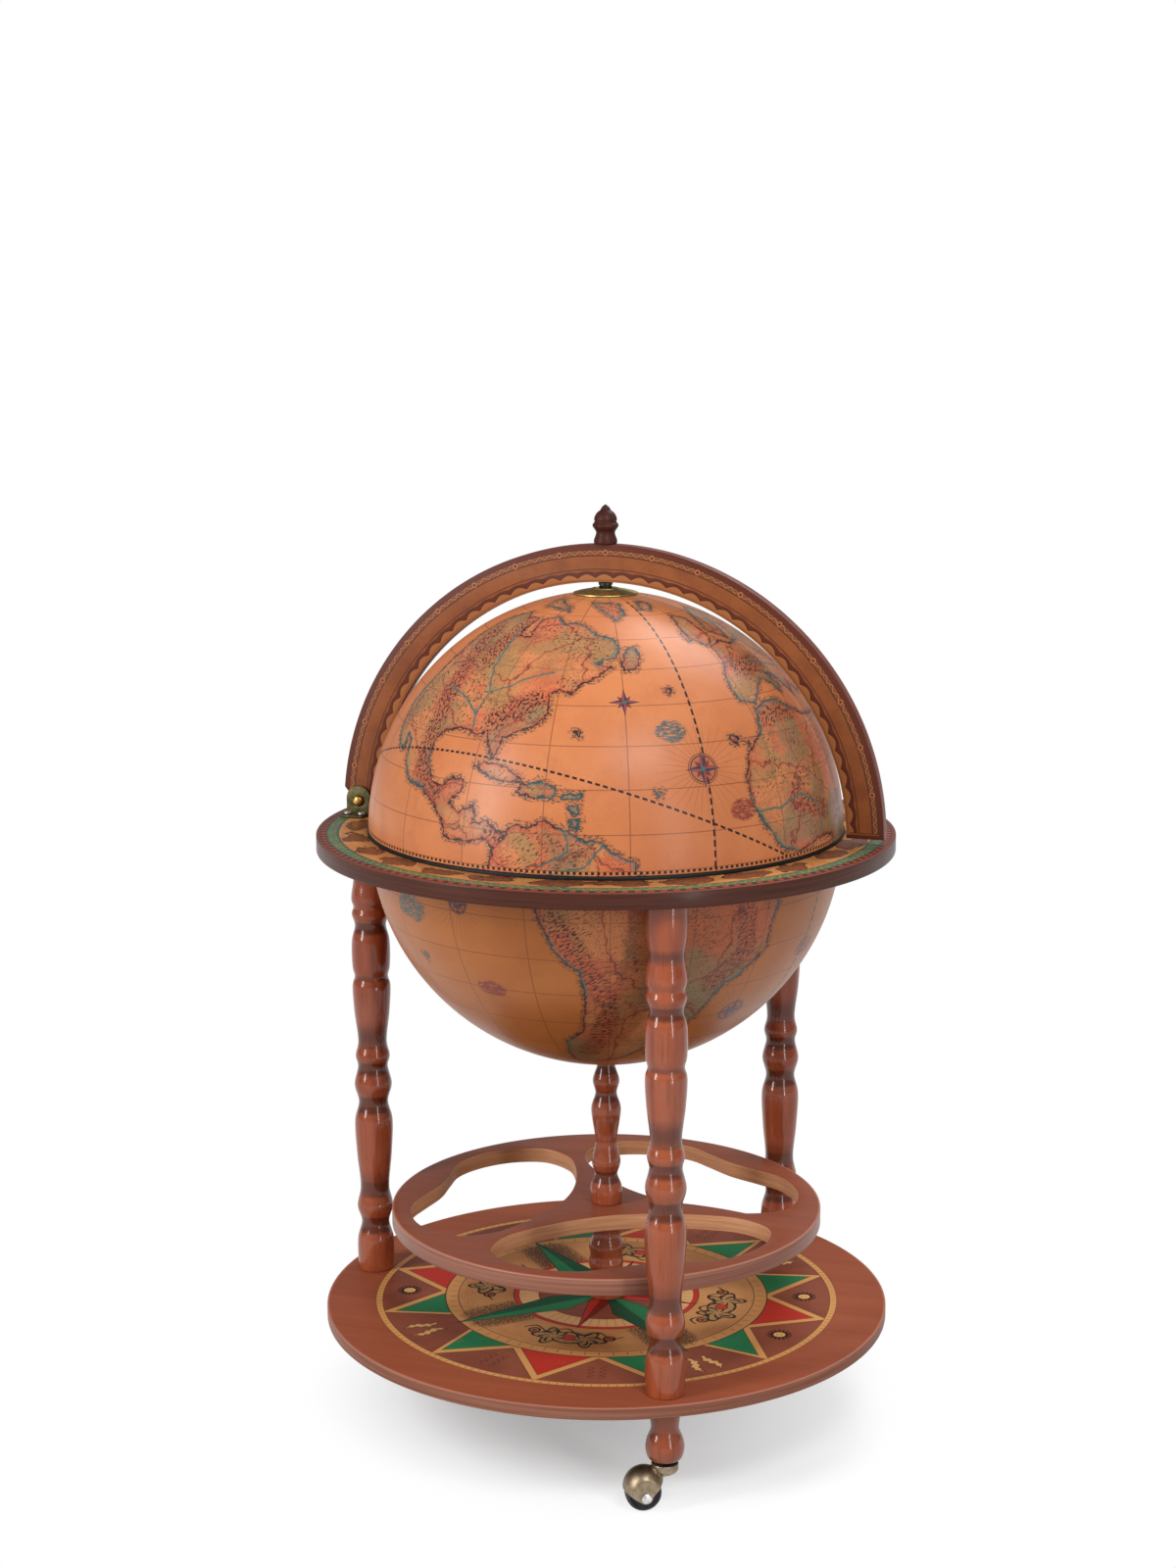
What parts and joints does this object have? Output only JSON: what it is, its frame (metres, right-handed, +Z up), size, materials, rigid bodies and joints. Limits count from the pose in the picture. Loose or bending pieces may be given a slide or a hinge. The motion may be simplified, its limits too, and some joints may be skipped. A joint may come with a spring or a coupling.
{
  "type": "floor globe bar",
  "caption": "Floor standing globe that opens as a bar: hinged dome on a meridian arc over a ring on three turned legs, with column, bottle shelf and base on casters.",
  "frame": {"origin": "on the floor under the column's axis, where the globe's axis meets the floor", "axes": "+Z up along the globe's axis, +X from the hinge to the free end of the meridian arc, hinge pin along Y with its head on the -Y side"},
  "size_m": [0.5006, 0.5006, 0.8072],
  "materials": {
    "printed_wood": "printed paper under clear varnish",
    "stained_wood": "red-brown stain under varnish, raw edges in the openings",
    "turned_wood": "turned beech, glossy red-brown varnish",
    "plain_wood": "plain pale wood",
    "globe_shell": "moulded shell covered with printed paper, satin varnish",
    "black_rubber": "matt black",
    "zinc_steel": "zinc plated",
    "antique_brass": "antiqued, darkened in the recesses",
    "bright_brass": "polished",
    "wheel_rubber": "dark grey, satin"
  },
  "bodies": {
    "stand": {"base_disc": "printed_wood", "leg_hinge": "turned_wood", "leg_front": "turned_wood", "leg_rear": "turned_wood", "bun_foot_hinge": "turned_wood", "bun_foot_front": "turned_wood", "bun_foot_rear": "turned_wood", "leg_stud_hinge": "zinc_steel", "leg_stud_front": "zinc_steel", "leg_stud_rear": "zinc_steel", "ring_dowel_hinge": "plain_wood", "ring_dowel_front": "plain_wood", "ring_dowel_rear": "plain_wood", "caster_stem_hinge": "zinc_steel", "caster_stem_front": "zinc_steel", "caster_stem_rear": "zinc_steel", "column_spool": "turned_wood", "bottle_shelf": "stained_wood", "column_spindle": "turned_wood", "column_tie_rod": "zinc_steel", "base_nut": "zinc_steel", "bowl_nut": "zinc_steel", "horizon_ring": "printed_wood", "rim_gasket": "black_rubber", "lower_bowl": "globe_shell", "glass_tray": "plain_wood", "tray_floor": "plain_wood", "hinge_bracket_front": "antique_brass", "hinge_bracket_rear": "antique_brass", "bracket_screw_1": "bright_brass", "bracket_screw_2": "bright_brass", "bracket_screw_3": "bright_brass", "bracket_screw_4": "bright_brass", "hinge_pin": "bright_brass", "hinge_nut": "bright_brass"},
    "lid": {"meridian_arc": "printed_wood", "finial": "turned_wood", "pole_rod": "zinc_steel", "pole_spacer": "antique_brass", "pole_nut": "zinc_steel", "hinge_washer_front": "black_rubber", "hinge_washer_rear": "black_rubber"},
    "globe_top": {"dome": "globe_shell", "pole_cap": "antique_brass"},
    "swivel_hinge": {"caster_hood_hinge": "antique_brass", "caster_axle_hinge": "zinc_steel"},
    "swivel_front": {"caster_hood_front": "antique_brass", "caster_axle_front": "zinc_steel"},
    "swivel_rear": {"caster_hood_rear": "antique_brass", "caster_axle_rear": "zinc_steel"},
    "wheel_hinge": {"caster_wheel_hinge": "wheel_rubber"},
    "wheel_front": {"caster_wheel_front": "wheel_rubber"},
    "wheel_rear": {"caster_wheel_rear": "wheel_rubber"}
  },
  "joints": [
    {"name": "lid_hinge", "type": "hinge", "parent": "stand", "child": "lid", "pos_m": [-0.2275, 0, 0.5392], "axis": [0, -1, 0], "range_deg": [0, 80]},
    {"name": "dome_spin", "type": "hinge", "parent": "lid", "child": "globe_top", "pos_m": [0, 0, 0.7], "axis": [0, 0, 1], "continuous": true},
    {"name": "caster_swivel_hinge", "type": "hinge", "parent": "stand", "child": "swivel_hinge", "pos_m": [-0.2221, 0, 0.0345], "axis": [0, 0, 1], "continuous": true},
    {"name": "caster_swivel_front", "type": "hinge", "parent": "stand", "child": "swivel_front", "pos_m": [0.11105, -0.19234, 0.0345], "axis": [0, 0, 1], "continuous": true},
    {"name": "caster_swivel_rear", "type": "hinge", "parent": "stand", "child": "swivel_rear", "pos_m": [0.11105, 0.19234, 0.0345], "axis": [0, 0, 1], "continuous": true},
    {"name": "wheel_roll_hinge", "type": "hinge", "parent": "swivel_hinge", "child": "wheel_hinge", "pos_m": [-0.2129, 0.01594, 0.015], "axis": [-0.866, 0.5, 0], "continuous": true},
    {"name": "wheel_roll_front", "type": "hinge", "parent": "swivel_front", "child": "wheel_front", "pos_m": [0.09503, -0.20141, 0.015], "axis": [0.4924, -0.8704, 0], "continuous": true},
    {"name": "wheel_roll_rear", "type": "hinge", "parent": "swivel_rear", "child": "wheel_rear", "pos_m": [0.09503, 0.18328, 0.015], "axis": [0.4924, -0.8704, 0], "continuous": true}
  ]
}
